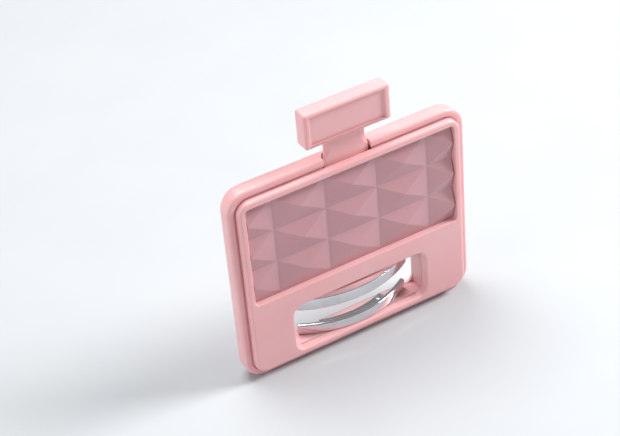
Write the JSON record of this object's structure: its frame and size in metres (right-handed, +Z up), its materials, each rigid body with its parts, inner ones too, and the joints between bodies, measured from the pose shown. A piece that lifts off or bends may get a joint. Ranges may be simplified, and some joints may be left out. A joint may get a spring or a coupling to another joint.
{
  "type": "eyelash curler",
  "caption": "Compact eyelash curler: flat rounded frame with a faceted front panel, T-shaped sprung thumb plunger, curved steel jaws and a soft pad.",
  "frame": {"origin": "centre of the flat base, midway through the frame's thickness", "axes": "+Z up towards the thumb tab, +X across the width, -Y out of the faceted front, +Y out of the back that faces the eye"},
  "size_m": [0.076, 0.009, 0.0812],
  "materials": {
    "pink_plastic": "satin",
    "facet_plastic": "gloss",
    "nylon": "matt",
    "jaw_steel": "polished",
    "rod_steel": "ground",
    "spring_steel": "drawn wire",
    "screw_steel": "plated",
    "brass": "turned",
    "silicone": "soft matt"
  },
  "bodies": {
    "frame": {"back_shell": "pink_plastic", "front_bezel": "pink_plastic", "facet_panel": "facet_plastic", "blade_guide": "nylon", "fixed_jaw": "jaw_steel", "fixed_jaw_screws": "screw_steel", "frame_screws": "screw_steel", "guide_screws": "screw_steel", "guide_rod_left": "rod_steel", "guide_rod_right": "rod_steel", "spring_seat_left": "brass", "spring_seat_right": "brass", "return_spring_left": "spring_steel", "return_spring_right": "spring_steel"},
    "plunger_set": {"plunger": "pink_plastic", "crosshead": "nylon", "crosshead_screws": "screw_steel", "bush_left": "brass", "bush_right": "brass", "jaw_carrier": "pink_plastic", "carrier_rivets": "screw_steel", "moving_jaw": "jaw_steel", "jaw_rivets": "screw_steel", "lash_pad": "silicone"}
  },
  "joints": [
    {"name": "plunger_slide", "type": "slide", "parent": "frame", "child": "plunger_set", "axis": [0, 0, -1], "range_m": [0, 0.0055], "stiffness_N_per_m": 500, "springref_m": -0.004, "deforming": ["return_spring_left", "return_spring_right"]}
  ]
}
